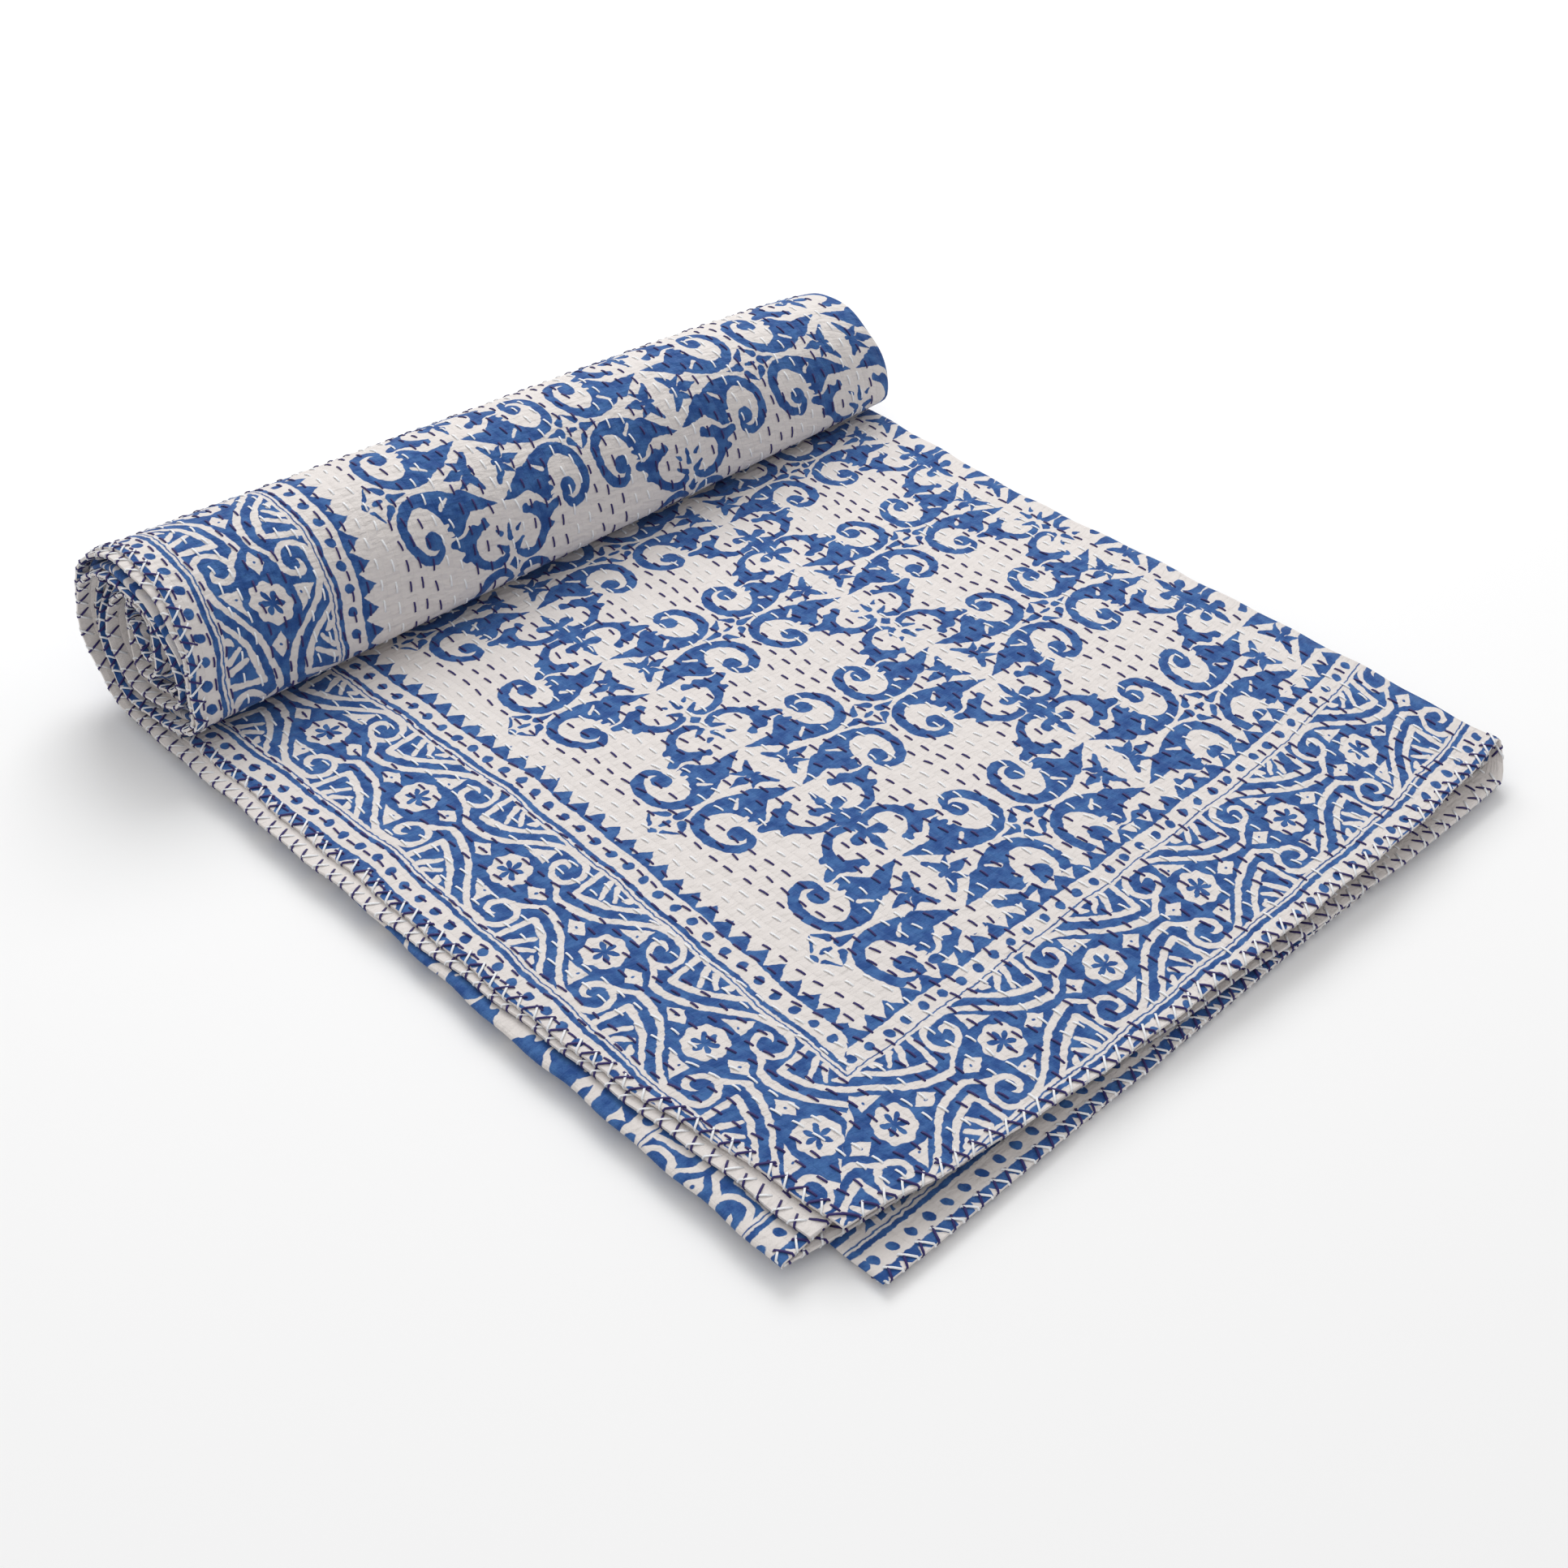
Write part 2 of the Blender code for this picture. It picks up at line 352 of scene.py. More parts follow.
def roll_place(away, rows):
    """Y and Z in the roll and round its core, before it tapers."""
    turn, core = rows.turn[:, None], rows.core[:, None]
    past = away * np.sin(core)
    radius = ROLL_RADIUS - TURN_PITCH * turn / math.tau - away * np.cos(core)
    bulge = 1 + ROLL_BULGE * np.sin(turn) ** 2
    y = ROLL_CENTRE + (radius * np.sin(turn) + past * np.cos(turn)) * bulge
    z = ROLL_HEIGHT + (past * np.sin(turn) - radius * np.cos(turn)) * bulge
    ahead = smooth(np.clip((ROLL_CENTRE - y) / SAG_FULL, 0, 1))
    return y - SAG * ahead * np.exp(-(((z - SAG_HEIGHT) / SAG_REACH) ** 2)), z


def positions(rows, columns):
    """The middle of the cloth at each row and column."""
    x = between(sideways, rows, columns) + columns.swell
    away = between(offset, rows, columns)
    back, on_flat = rows.back[:, None], rows.turn[:, None] == 0
    flat_y, flat_z = flat_place(x, away, rows, columns)
    roll_y, roll_z = roll_place(away, rows)

    tight = 1 - TAPER[0] * x / QUARTER - TAPER[1] * np.clip(x / QUARTER, 0, 1) ** TAPER_CLOSE
    y = np.where(on_flat, flat_y, ROLL_CENTRE + (roll_y - ROLL_CENTRE) * tight)
    z = np.where(on_flat, flat_z, roll_z)
    tight = np.where(on_flat, mix(1.0, tight, smooth(back)), tight)
    z = CLOTH / 2 + (z - CLOTH / 2) * tight

    left_shift = TOP_SHIFT * (z / (2 * ROLL_RADIUS) - UPRIGHT)
    right_shift = END_SHIFT * np.exp(-(((z - END_HEIGHT) / END_REACH) ** 2))
    shifted = smooth(np.clip((back - SHIFT_START) / (1 - SHIFT_START), 0, 1))
    x = x + mix(left_shift, right_shift, columns.across) * shifted
    stray = bpy.context.scene.quilt_cloth.hem_waves
    stray_x = stray * wave_sum(x, y, z, STRAY_X)
    stray_y = stray * wave_sum(x, y, z, STRAY_Y) * (1 - smooth(back))
    return np.stack((x + stray_x, y + stray_y, z), axis=-1)


def lengths(points, axis):
    """How far each point lies from the first one along an axis of the grid."""
    steps = np.linalg.norm(np.diff(points, axis=axis), axis=-1)
    start = np.zeros_like(np.take(steps, [0], axis=axis))
    return np.cumsum(np.concatenate((start, steps), axis=axis), axis=axis)


def footprint_middle(point):
    """X and Y of the middle of what the sheet's points cover."""
    return (point.min(axis=(0, 1)) + point.max(axis=(0, 1)))[:2] / 2


def folded_sheet():
    """The whole sheet, with its footprint's middle at the origin as the frame has it."""
    point = positions(sheet_rows(), sheet_columns())
    point[..., :2] -= footprint_middle(point)
    normal = np.cross(np.gradient(point, axis=1), np.gradient(point, axis=0))
    normal /= np.linalg.norm(normal, axis=-1, keepdims=True)
    return Sheet(point, normal, lengths(point, 1)[FLAT_ROWS // 2], lengths(point, 0))


def on_sheet(sheet, row, column):
    """Points and normals of the sheet at fractional rows and columns."""
    rows, columns = sheet.point.shape[:2]
    r = np.clip(row.astype(int), 0, rows - 2)
    c = np.clip(column.astype(int), 0, columns - 2)
    fr, fc = (row - r)[..., None], (column - c)[..., None]
    found = []
    for grid in (sheet.point, sheet.normal):
        near = mix(grid[r, c], grid[r, c + 1], fc)
        far = mix(grid[r + 1, c], grid[r + 1, c + 1], fc)
        found.append(mix(near, far, fr))
    return found


# ---- Shader arithmetic


class Shade:
    """A socket of a material's nodes. Arithmetic on it adds the nodes that work it out."""

    def __init__(self, socket):
        self.socket = socket

    def node(self, kind, settings=None, inputs=None, output=0):
        """Adds a node, sets it, gives its inputs values or links, and returns one of its outputs."""
        node = self.socket.id_data.nodes.new(kind)
        for name, value in (settings or {}).items():
            if name == "points":
                chart(node, value)
            else:
                setattr(node, name, value)
        for key, value in (inputs or {}).items():
            socket = node.inputs[key]
            if isinstance(value, Shade):
                self.socket.id_data.links.new(value.socket, socket)
            elif socket.type == "VECTOR" and isinstance(value, (int, float)):
                socket.default_value = (value,) * 3
            else:
                socket.default_value = value
        return Shade(node.outputs[output])

    def maths(self, operation, *others, output=0):
        vector = self.socket.type == "VECTOR"
        kind = "ShaderNodeVectorMath" if vector else "ShaderNodeMath"
        return self.node(kind, {"operation": operation}, dict(enumerate((self, *others))), output)

    def _reflected(self, operation, other):
        return self.node("ShaderNodeMath", {"operation": operation}, {0: other, 1: self})

    def __add__(self, other):
        return self.maths("ADD", other)

    def __sub__(self, other):
        return self.maths("SUBTRACT", other)

    def __rsub__(self, other):
        return self._reflected("SUBTRACT", other)

    def __mul__(self, other):
        return self.maths("MULTIPLY", other)

    def __truediv__(self, other):
        return self.maths("DIVIDE", other)

    __radd__ = __add__
    __rmul__ = __mul__

    def __abs__(self):
        return self.maths("ABSOLUTE")

    def low(self, other):
        return self.maths("MINIMUM", other)

    def high(self, other):
        return self.maths("MAXIMUM", other)

    def wrap(self, low, high):
        return self.maths("WRAP", high, low)

    def mirrored(self, half):
        """Runs from 0 to half and back, over and over."""
        return self.maths("PINGPONG", half)

    def length(self):
        return self.maths("LENGTH", output="Value")

    def xy(self):
        """The two coordinates of a point of the print."""
        apart = self.node("ShaderNodeSeparateXYZ", inputs={0: self})
        return apart, Shade(apart.socket.node.outputs[1])

    def inside(self, soft):
        """1 where this distance is below nought, 0 where it is above, with a soft edge."""
        return self.node(
            "ShaderNodeMapRange", inputs={"Value": self, "From Min": soft, "From Max": -soft}
        )

    def blend(self, a, b, kind="RGBA"):
        """Goes from a to b as this goes from 0 to 1."""
        first, second, result = {"RGBA": (6, 7, 2), "FLOAT": (2, 3, 0)}[kind]
        return self.node("ShaderNodeMix", {"data_type": kind}, {0: self, first: a, second: b}, result)


def chart(node, points):
    """Gives a curve node its points, which run from 0 to 1 both ways."""
    curve = node.mapping.curves[0]
    for x, y in points[1:-1]:
        curve.points.new(x, y)
    for point, (x, y) in zip(curve.points, points):
        point.location = (x, y)
        point.handle_type = "AUTO_CLAMPED"
    node.mapping.update()


def point_at(x, y):
    """A point of the print, from its two coordinates."""
    return x.node("ShaderNodeCombineXYZ", inputs={0: x, 1: y})


def noise(place, scale, detail, output="Fac"):
    """Flat noise, so many patches to the millimetre."""
    values = {"Vector": place, "Scale": scale, "Detail": detail}
    return place.node("ShaderNodeTexNoise", {"noise_dimensions": "2D"}, values, output)


def clamped(value):
    return value.node("ShaderNodeClamp", inputs={0: value})


# ---- The block print. Distances are in millimetres, below nought inside a shape.

EDGE = 0.25  # how soft the edge of the ink is
ROUGHNESS = 2.6  # how far the block's edges stray
ROUGH_SCALE = 0.16

# The border: a band of vines between two narrow strips of dots and teeth, the same on both sides of its line
REPEAT = 88.0  # from one flower to the next
BAND_EDGE = 37.4
THIN_LINE = (39.6, 40.6)
THICK_LINE = (42.2, 45.4)
DOT_LINE = 52.5
DOT_RADIUS = 3.2
DOT_SQUASH = 0.92  # how much longer than wide the dots are, across the strip
TOOTH_LINE = (59.5, 61.5)
TOOTH_TIP = 72.0
TOOTH_PITCH = REPEAT / 6
END_CLOSER = 5.6  # how much closer the end band's inner dots and teeth lie
FIELD_START = 70.0
SIDE_BAND = (36.5, 0.055)  # from the side hem to the band's middle, and how much farther for each mm along
SIDE_BAND_LONG = 380.0  # how far along it runs askew
SIDE_BAND_BACK = 0.028  # how much nearer the band comes again past that, for each mm
SIDE_BAND_END = 620.0
END_BAND = (23.5, 0.033)
END_BAND_LONG = 650.0
SIDE_FLOWER = 45.5  # from the end hem to the first flower of the side band
SIDE_REPEAT = 91.2
END_FLOWER = 76.5
END_REPEAT = 87.0

# The blocks were set in straight lines, although the hems are bowed
END_OUT = 4.0  # how far the end hem lies out past the corner, and how much farther it bows
END_BOW = 17.5
END_BOW_LONG = 286.0
SIDE_BOW = 24.0  # how far the side hem comes in towards the corner
SIDE_BOW_LONG = 260.0
CORNER_IN = 11.0

# The field: scrolls on a lattice that is mirrored about its columns and its rows
COLUMN = 81.2  # from a column's axis to half way to the next one
ROW = 65.5  # from a mirror row to a node row
FIELD_COLUMN = 226.5  # from the side hem to a column's axis
FIELD_ROW = 285.5  # from the end hem to a mirror row
FIELD_SKEW = 0.030
FIELD_STRETCH = 0.00027  # how much closer the blocks were set towards the middle of the quilt
FIELD_SCALE = 0.957
FIELD_FAN = 0.000125  # how much closer the rows lie for each mm across
FIELD_LEAN = 0.05  # how far the first columns lean, for each mm past FIELD_LEAN_START
FIELD_LEAN_START = 60.0
ROLLED = 540.0  # from the end hem to where the roll begins, where the columns draw in towards the side
ROLL_DRAW = 10.0
ROLL_DRAW_WIDE = 120.0
FIELD_SIDE = 12.0  # how far the first column's leaves reach past its half way line at a mirror row
FIELD_SIDE_SLOPE = 0.8

# Outlines charted as (degrees, outer radius, inner radius) round a centre, with the reach of the chart
BIG_SCROLL = (58.0, 27.0)
BIG_REACH = 52.0
BIG_CHART = (
    (140, 8.6, 11), (148, 10, 12.4), (156, 19, 16.5), (163, 24.5, 18.6), (170, 26, 13.2), (177, 28.5, 13.6),
    (184, 33, 17.4), (192, 36.5, 13.2), (200, 36.5, 13.6), (213, 33.5, 13.8), (232, 29.4, 14.6),
    (252, 26.4, 15.6), (270, 24.6, 16.2), (300, 22.6, 15), (330, 20.5, 13.2), (360, 18.8, 11.8),
    (390, 18.9, 11.8), (420, 20.3, 13.4), (446, 20.6, 14.0), (466, 18.6, 11.8), (482, 14.8, 8.6),
    (500, 8.6, 11),
)  # fmt: skip
BIG_BALL = ((56.5, 32.5), 6.2)  # its centre and radius
MIRROR_GAP = 1.1  # from a scroll to the mirror row
SMALL_SCROLL = (15.0, 18.0)
SMALL_REACH = 40.0
SMALL_CHART = (
    (96, 10.4, 12.2), (205, 10.4, 12.2), (225, 17, 13), (250, 18, 12.2), (280, 17.4, 11.6), (315, 17.4, 11.2),
    (340, 18.6, 11.2), (354, 24, 11.4), (361, 21, 11.4), (371, 28, 11.6), (377, 32, 11.6), (386, 24, 11.6),
    (398, 20.5, 11.2), (414, 20, 10.8), (428, 15.8, 10.4), (440, 17.5, 10.6), (456, 10.4, 12.2),
)  # fmt: skip

# Tapering strokes, each as (start, half width, end, half width): those of the scrolls and leaves from a
# mirror row, and the rest from a node row
SCROLL_STROKES = (
    ((26, 16), 7.6, (14, 21), 4.0),
    ((14, 21), 4.0, (3, 24.5), 0.4),
    ((38, 26), 4.0, (40, 34), 1.2),
)
SCROLL_NOTCH = ((36, 10.5), 0.8, (42.5, 15.5), 1.5)
FIELD_LEAVES = (
    ((21, 0), 3.9, (31, 0), 0.4),
    ((13, 4), 3.7, (6.5, 13), 1.5),
    ((9, 0), 1.6, (18, 0), 1.8),
    ((16, 5), 2.8, (22, 9.5), 0.5),
    ((71, 0), 3.4, (60, 0), 0.3),
    ((78, 0), 1.2, (83, 0), 2.4),
    ((74.5, 6.5), 2.9, (80.5, 13), 0.5),
)
CROSS_SIZE = 9.5
CROSS_STROKES = (
    ((0, 4), 3.4, (0, 20), 2.2),
    ((0, 22), 3.4, (0, 32), 0.8),
    ((0, 13), 2.0, (9, 16.5), 4.2),
)
PETALS_SIZE = 4.5
PETAL_STROKES = (
    ((0, 17.5), 2.6, (0, 26), 0.9),
    ((4.2, 10.5), 2.6, (10.5, 14.5), 1.0),
    ((7, 21.5), 1.8, (10, 24), 0.6),
)

# How far the vine runs from the band's middle, by how far it is behind the flower
VINE_START = -24.0
VINE_CHART = (
    (-112, 36.4), (-106, 37), (-99, 36.4), (-92, 33.4), (-85, 28.6), (-79, 23.8), (-73, 18.8), (-67, 14),
    (-60, 10), (-52, 7.1), (-45, 5.4), (-38, 5), (-33, 8.2), (-29, 12.2), (-24, 15.3),
)  # fmt: skip
VINE_GAP = 6.6  # from the vine to the line beside it, which draws away by VINE_SPREAD for each mm
VINE_SPREAD = 0.085
VINE_SLOPE = 0.82  # how much nearer a slanting vine is than straight across the band
LINE = 2.05  # half the width of a white line
CLOSING = ((15.0, -41.5), (39.0, -39.0))  # the stroke that closes the top of the leaves
LEAVES = (
    ((24, -55), 1.5, (36, -48.6), 2.2),
    ((29, -62.5), 1.4, (36.3, -55), 2.1),
    ((33, -65), 1.0, (36, -68), 2.6),
)
ROUNDEL_RADIUS = 13.2
SCALLOPS = 8
SCALLOP = 0.7  # how far its edge goes out and in
PETALS = 6
PETAL = 6.3  # how far its petals reach past the eye
EYE_RADIUS = 2.2
DIAMOND_PLACE = 25.5  # from the flower to a diamond along the band
DIAMOND_SIZE = 6.0
DIAMOND_SLOPE = 0.75
DIAMOND_HOLE = 1.0
WEDGE_SIDES = (((18, 0), (-1, 0)), ((18, -9), (0.1, -1)), ((18, 7.5), (15, 13)))  # points and ways out
WEDGE_HOLE = ((21, -4), 0.9)
CURL = (25.8, -24.0)
CURL_REACH = 14.0
CURL_CHART = (
    (-22, 9.9, 10.2), (-10, 12, 8.9), (0, 12.4, 8.5), (45, 12.4, 8.2), (90, 12.2, 8.2), (135, 12.4, 8.4),
    (180, 12.6, 8.6), (210, 12.3, 8.2), (240, 11.8, 7.5), (262, 11.3, 6.8), (280, 10.4, 5.6), (298, 9.2, 3.4),
    (312, 7.4, 1.4), (325, 5, 0.6), (338, 2.2, 2.6),
)  # fmt: skip


def disc(p, centre, radius):
    return (p - (*centre, 0)).length() - radius


def drop(p, start, start_radius, end, end_radius):
    """A straight stroke that tapers from one round end to the other."""
    way = (end[0] - start[0], end[1] - start[1], 0)
    square = way[0] ** 2 + way[1] ** 2
    from_start = p - (*start, 0)
    shares = tuple(part / square for part in way)
    along = clamped(from_start.maths("DOT_PRODUCT", shares, output="Value"))
    foot = along.node("ShaderNodeVectorMath", {"operation": "SCALE"}, {0: way, "Scale": along})
    return (from_start - foot).length() - (along * (end_radius - start_radius) + start_radius)


def half_plane(p, through_point, outward):
    """How far a point lies past a straight edge, which runs through a point and faces outward."""
    way = (*(part / math.hypot(*outward) for part in outward), 0)
    return (p - (*through_point, 0)).maths("DOT_PRODUCT", way, output="Value")


def polar(p, centre):
    """The distance from a centre, and the angle about it in degrees."""
    from_centre = p - (*centre, 0)
    x, y = from_centre.xy()
    return from_centre.length(), y.maths("ARCTAN2", x) * math.degrees(1)


def charted(at, points, reach):
    """A curve that runs through charted points, whose values go up to a reach."""
    first, last = points[0][0], points[-1][0]
    share = (at - first) / (last - first)
    scaled = [((place - first) / (last - first), value / reach) for place, value in points]
    return reach * share.node("ShaderNodeFloatCurve", {"points": scaled}, {"Value": share})


def ring(radius, angle, reach, outline):
    """A scroll between two radii that are charted by the angle, once round."""
    turned = angle.wrap(outline[0][0], outline[-1][0])
    outer = charted(turned, [(row[0], row[1]) for row in outline], reach)
    inner = charted(turned, [(row[0], row[2]) for row in outline], reach)
    return (radius - outer).high(inner - radius)


def all_of(*shapes):
    """Shapes put together, from how far a point is from each."""
    found = shapes[0]
    for shape in shapes[1:]:
        found = found.low(shape)
    return found


def strokes(p, table):
    """Tapering strokes put together."""
    return all_of(*(drop(p, *stroke) for stroke in table))


def field_ink(p):
    """How far a point of the field is from the ink."""
    x, y = p.xy()
    a, b = x.mirrored(COLUMN), y.mirrored(ROW)
    n = ROW - b
    quarter, node = point_at(a, b), point_at(a, n)
    row_kind = (y / (2 * ROW)).maths("FLOOR").mirrored(1.0)

    scroll = all_of(
        ring(*polar(quarter, BIG_SCROLL), BIG_REACH, BIG_CHART).high(MIRROR_GAP - b),
        disc(quarter, *BIG_BALL),
        strokes(quarter, SCROLL_STROKES),
        ring(*polar(node, SMALL_SCROLL), SMALL_REACH, SMALL_CHART),
    )
    scroll = scroll.high(-1 * drop(quarter, *SCROLL_NOTCH))
    cross = (a + n - CROSS_SIZE).low(strokes(node, CROSS_STROKES))
    petals = (a + n - PETALS_SIZE).low(strokes(node, PETAL_STROKES))
    leaves = strokes(quarter, FIELD_LEAVES)
    return all_of(scroll, leaves, row_kind.blend(petals, cross, "FLOAT"))


def vines(behind, t):
    """The vine, the line beside it, the stroke that closes them at the top, and their leaves."""
    q = point_at(t, behind)
    beside = t - charted(behind, VINE_CHART, BAND_EDGE)
    vine = VINE_SLOPE * abs(beside) - LINE
    second = VINE_SLOPE * abs(beside + VINE_SPREAD * behind - VINE_GAP) - LINE
    second = second.high(behind - CLOSING[0][1])
    closing = drop(q, CLOSING[0], LINE, CLOSING[1], LINE)
    return all_of(vine, second, closing, strokes(q, LEAVES))


def roundel(p):
    """The flower in its scalloped circle."""
    radius, angle = polar(p, (0, 0))
    scallops = SCALLOP * (angle * math.radians(SCALLOPS)).maths("COSINE")
    petals = PETAL * abs((angle * math.radians(PETALS / 2)).maths("COSINE"))
    return (radius - scallops - ROUNDEL_RADIUS).high(petals + EYE_RADIUS - radius)


def diamond(along, t):
    """A small diamond with a hole, half way between two roundels' edges."""
    beside = abs(along) - DIAMOND_PLACE
    edge = t + DIAMOND_SLOPE * abs(beside) - DIAMOND_SIZE
    return edge.high(DIAMOND_HOLE - point_at(t, beside).length())


def wedge(p):
    """A small wedge with a hole, beside each roundel."""
    found = -1 * disc(p, *WEDGE_HOLE)
    for side_point, outward in WEDGE_SIDES:
        found = found.high(half_plane(p, side_point, outward))
    return found


def band_paper(s, t):
    """How far a point of the band is from what the ink leaves white. The rest of the band is inked."""
    along = s.wrap(-REPEAT / 2, REPEAT / 2)
    behind = s.wrap(VINE_START - REPEAT, VINE_START)
    p = point_at(t, along)
    radius, angle = polar(p, CURL)
    curl = ring(radius, -1 * angle, CURL_REACH, CURL_CHART)
    return all_of(vines(behind, t), curl, roundel(p), diamond(along, t), wedge(p), BAND_EDGE - t)


def strip_ink(s, t, closer):
    """How far a point beside the band is from the ink of its lines, dots and teeth."""
    lines = [abs(t - (low + high) / 2) - (high - low) / 2 for low, high in (THIN_LINE, THICK_LINE)]
    lines[1] = lines[1] + closer
    t = t + closer
    lines.append(abs(t - sum(TOOTH_LINE) / 2) - (TOOTH_LINE[1] - TOOTH_LINE[0]) / 2)
    beside = abs(s.wrap(-TOOTH_PITCH / 2, TOOTH_PITCH / 2))
    dots = point_at(beside, (t - DOT_LINE) * DOT_SQUASH).length() - DOT_RADIUS
    slope = (TOOTH_TIP - TOOTH_LINE[1]) / (TOOTH_PITCH / 2)
    teeth = ((t - TOOTH_TIP + slope * beside) / math.hypot(1, slope)).high(TOOTH_LINE[0] - t)
    return all_of(*lines, dots, teeth)


def straightened(side, end):
    """How far a point is from straight lines at the side and the end, along which the blocks were set."""
    near = clamped(end / SIDE_BOW_LONG)
    bowed_side = side + CORNER_IN - SIDE_BOW * near * (2 - near)
    left = 1 - clamped(side / END_BOW_LONG)
    return bowed_side, end - END_OUT - END_BOW * (1 - left * left * left)


def band_middles(side, end):
    """How far a point lies past the middle of the side's band, and past that of the end's."""
    p = side - SIDE_BAND[0] - SIDE_BAND[1] * end.low(SIDE_BAND_LONG)
    p = p + SIDE_BAND_BACK * (end.high(SIDE_BAND_LONG).low(SIDE_BAND_END) - SIDE_BAND_LONG)
    return p, end - END_BAND[0] - END_BAND[1] * side.low(END_BAND_LONG)


def border_ink(s, t, closer):
    """How far a point is from the ink of the band and its strips."""
    band = (-1 * band_paper(s, t)).high(t - BAND_EDGE)
    return band.low(strip_ink(s, t, closer))


def lattice(side, end):
    """Where a point lies on the field's lattice, across its columns and along its rows."""
    column = side - FIELD_COLUMN
    row = end - FIELD_ROW + FIELD_SKEW * column
    column = column + FIELD_LEAN * (-1 * row - FIELD_LEAN_START).high(0.0)
    column = column + ROLL_DRAW * clamped(column / ROLL_DRAW_WIDE) * clamped((end - ROLLED) / ROLL_DRAW_WIDE)
    bent = row.high(-FIELD_ROW).low(FIELD_ROW)
    return column, row * (FIELD_FAN * column + FIELD_SCALE) + FIELD_STRETCH * bent * bent


def print_ink(across, along, width, length):
    """1 where the cloth is inked, from where it lies across and along the whole cloth, in millimetres."""
    place = point_at(across, along)
    rough = noise(place, ROUGH_SCALE, 3.0, "Color")
    wobble = rough.node("ShaderNodeVectorMath", {"operation": "SUBTRACT"}, {0: rough, 1: (0.5, 0.5, 0.5)})
    x, y = (place + wobble * ROUGHNESS).xy()
    side, end = straightened(x.low(width - x), y.low(length - y))

    p, q = band_middles(side, end)
    by_side = p.maths("LESS_THAN", q)
    by_end = (side - END_FLOWER) * (REPEAT / END_REPEAT)
    s = by_side.blend(by_end, (end - SIDE_FLOWER) * (REPEAT / SIDE_REPEAT), "FLOAT")
    closer = END_CLOSER * (1 - by_side) * q.maths("GREATER_THAN", 0.0)
    border = border_ink(s, abs(p.low(q)), closer)

    column, row = lattice(side, end)
    past = (FIELD_SIDE - FIELD_SIDE_SLOPE * row.mirrored(ROW)).high(-1.0)
    bare = all_of(p.low(q) + closer - FIELD_START, column + COLUMN + past)
    field = field_ink(point_at(column, row)).high(-1 * bare)
    return border.low(field).inside(EDGE)


# ---- Finishes

# How high the parts of the cotton's relief stand, as shares of the pucker
PUFF = 0.55
PUFF_ROUND = 0.6  # how round the puff between two rows of stitches is
CRINKLE = 1.3
CRINKLE_SCALE = (0.085, 0.24)  # across and along
WEAVE = 0.03
WEAVE_FAST = 5.2

MILLIMETRES = 1000.0  # in a metre
COTTON_PATCH = 0.02
COTTON_SHADES = (0.97, 1.03)
THREAD_SHADES = (0.85, 1.12)

# How the ink thins out, in flows and in fine grain: how much, and how many patches to the millimetre
INK_FLOW = (3.4, 0.11)
INK_GRAIN = (0.9, 0.9)
INK_FULL = 1.7  # how much of both the block held back


def new_material(name):
    """A material and its shader node."""
    material = bpy.data.materials.new(name)
    material.use_nodes = True
    shader = material.node_tree.nodes["Principled BSDF"]
    shader.inputs["Metallic"].default_value = 0.0
    return material, shader


def wire(shader, name, value):
    shader.id_data.links.new(value.socket, shader.inputs[name])


def cloth_place(material):
    """Where a point lies on the opened-out cloth, in millimetres across and along."""
    uv = Shade(material.node_tree.nodes.new("ShaderNodeUVMap").outputs[0])
    uv.socket.node.uv_map = "cloth"
    return (uv * MILLIMETRES).xy()


def puckers(across, along):
    """How the cotton puffs up between the rows of stitches and crinkles along them."""
    half = bpy.context.scene.quilt_stitches.row_pitch * MILLIMETRES / 2
    puff = (across.mirrored(half) / half).maths("POWER", PUFF_ROUND)
    stretched = point_at(across * CRINKLE_SCALE[0], along * CRINKLE_SCALE[1])
    weave = (across * WEAVE_FAST).maths("SINE") * (along * WEAVE_FAST).maths("SINE")
    return PUFF * puff + CRINKLE * noise(stretched, 1.0, 3.0) + WEAVE * weave


def cloth_finish(shader, across, along, colour):
    cloth = bpy.context.scene.quilt_cloth
    height = puckers(across, along)
    bump = {"Strength": 1.0, "Distance": cloth.pucker, "Height": height}
    wire(shader, "Normal", height.node("ShaderNodeBump", inputs=bump))
    wire(shader, "Base Color", colour)
    shader.inputs["Roughness"].default_value = 0.88
    shader.inputs["Specular IOR Level"].default_value = 0.25
    shader.inputs["Sheen Weight"].default_value = 0.12
    shader.inputs["Sheen Roughness"].default_value = 0.5


def shades(colour, factors):
    """A darker and a lighter shade of a colour."""
    return [(*(part * factor for part in colour), 1) for factor in factors]


def cotton_colour(across, along):
    """Plain cotton, a little darker in patches."""
    patch = noise(point_at(across, along), COTTON_PATCH, 4.0)
    return patch.blend(*shades(bpy.context.scene.quilt_cloth.cotton, COTTON_SHADES))


def printed_material(width, length):
    """Cotton with the block print."""
    material, shader = new_material("block print")
    cloth = bpy.context.scene.quilt_cloth
    across, along = cloth_place(material)
    place = point_at(across, along)
    flow = INK_FLOW[0] * noise(place, INK_FLOW[1], 4.0)
    thin = flow + INK_GRAIN[0] * noise(place, INK_GRAIN[1], 2.0) - INK_FULL
    inked = clamped(thin).blend((*cloth.ink, 1), (*cloth.ink_thin, 1))
    colour = print_ink(across, along, width, length).blend(cotton_colour(across, along), inked)
    cloth_finish(shader, across, along, colour)
    return material


def plain_material():
    """The quilt's unprinted back."""
    material, shader = new_material("plain back")
    across, along = cloth_place(material)
    cloth_finish(shader, across, along, cotton_colour(across, along))
    return material


